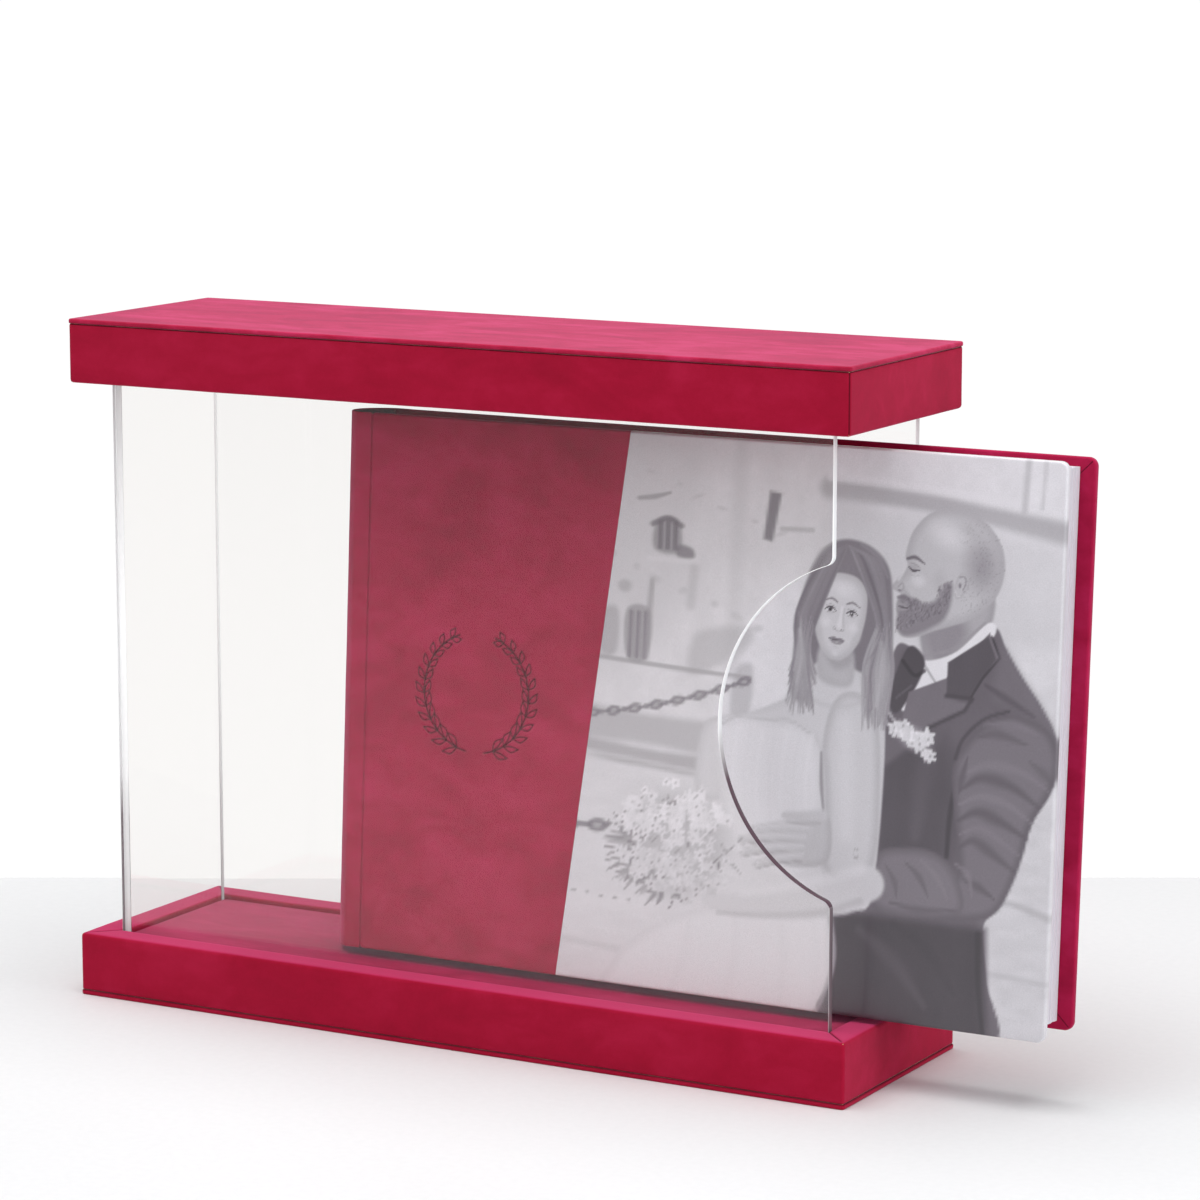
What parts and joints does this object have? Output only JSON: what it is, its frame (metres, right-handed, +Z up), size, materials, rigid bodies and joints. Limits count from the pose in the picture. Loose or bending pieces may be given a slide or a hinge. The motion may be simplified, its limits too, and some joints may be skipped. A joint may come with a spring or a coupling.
{
  "type": "photo album stand",
  "caption": "Clear-walled stand with two suede-covered boxes that holds a landscape photo album on edge, open at one end so the album slides out.",
  "frame": {"origin": "centre of the base box's underside", "axes": "+X along the stand towards its open end, +Y from the front panel to the back panel, +Z up"},
  "size_m": [0.4185, 0.1, 0.28],
  "materials": {
    "suede": "crimson suede, matte with a soft nap",
    "rail_wood": "raw fibreboard",
    "grey_board": "raw grey board",
    "acrylic": "clear, polished",
    "photo_print": "glossy black and white print",
    "leaf": "satin photo paper on card",
    "lining_paper": "matte paper",
    "spine_tape": "plain woven tape"
  },
  "bodies": {
    "stand": {"base_front_rail": "rail_wood", "base_back_rail": "rail_wood", "base_left_rail": "rail_wood", "base_right_rail": "rail_wood", "base_battens": "rail_wood", "base_wrap": "suede", "base_floor_board": "rail_wood", "base_floor_cover": "suede", "base_bottom_board": "grey_board", "base_bottom_cover": "suede", "top_front_rail": "rail_wood", "top_back_rail": "rail_wood", "top_left_rail": "rail_wood", "top_right_rail": "rail_wood", "top_battens": "rail_wood", "top_wrap": "suede", "top_ceiling_board": "rail_wood", "top_ceiling_cover": "suede", "top_lid_board": "grey_board", "top_lid_cover": "suede", "front_panel": "acrylic", "back_panel": "acrylic", "left_panel": "acrylic"},
    "album": {"album_back_board": "grey_board", "album_back_suede": "suede", "album_back_lining": "lining_paper", "album_spine_card": "grey_board", "album_spine_suede": "suede", "album_spine_tape": "spine_tape", "album_leaf_01": "leaf", "album_leaf_02": "leaf", "album_leaf_03": "leaf", "album_leaf_04": "leaf", "album_leaf_05": "leaf", "album_leaf_06": "leaf", "album_leaf_07": "leaf", "album_leaf_08": "leaf", "album_leaf_09": "leaf", "album_leaf_10": "leaf", "album_leaf_11": "leaf", "album_leaf_12": "leaf", "album_leaf_13": "leaf", "album_leaf_14": "leaf", "album_leaf_15": "leaf", "album_leaf_16": "leaf"},
    "front_cover": {"album_front_board": "grey_board", "album_front_suede": "suede", "album_photo_panel": "photo_print", "album_front_lining": "lining_paper"}
  },
  "joints": [
    {"name": "album_slide", "type": "slide", "parent": "stand", "child": "album", "axis": [1, 0, 0], "range_m": [-0.0865, 0.26]},
    {"name": "cover_hinge", "type": "hinge", "parent": "album", "child": "front_cover", "pos_m": [-0.056, -0.0205, 0.02807], "axis": [0, -0.061, -0.9981], "range_deg": [0, 2.3]}
  ]
}
